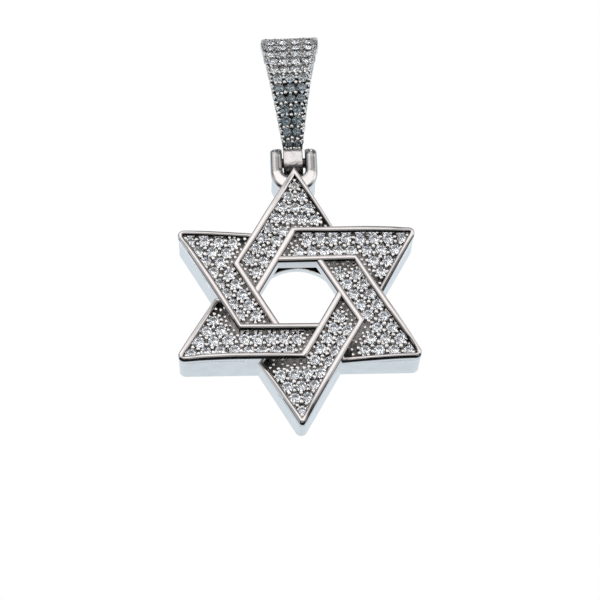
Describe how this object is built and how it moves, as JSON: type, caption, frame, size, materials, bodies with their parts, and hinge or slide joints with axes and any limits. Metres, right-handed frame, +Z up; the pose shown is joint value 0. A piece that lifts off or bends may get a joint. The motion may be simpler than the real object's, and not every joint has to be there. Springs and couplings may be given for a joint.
{
  "type": "star of david pendant",
  "caption": "Woven six-pointed star pendant set with small clear stones, hinged on a pin under a tapered stone-set bail.",
  "frame": {"origin": "top inside of the bail's loop, where the chain lies", "axes": "+X across the pendant, along the chain and the hinge pin; +Y to the back, so the stones face -Y; +Z up as it hangs"},
  "size_m": [0.0234, 0.0074, 0.0436],
  "materials": {
    "polished_silver": "rhodium-plated sterling silver, bright polished",
    "clear_stones": "clear cut cubic zirconia, faceted"
  },
  "bodies": {
    "bail": {"bail": "polished_silver", "stones_bail": "clear_stones"},
    "star": {"star_frame": "polished_silver", "hinge_pin": "polished_silver", "stones_top": "clear_stones", "stones_upper_right": "clear_stones", "stones_lower_right": "clear_stones", "stones_bottom": "clear_stones", "stones_lower_left": "clear_stones", "stones_upper_left": "clear_stones"}
  },
  "joints": [
    {"name": "star_swing", "type": "hinge", "parent": "bail", "child": "star", "pos_m": [0, 0, -0.01369], "axis": [1, 0, 0], "range_deg": [-65, 65]}
  ]
}
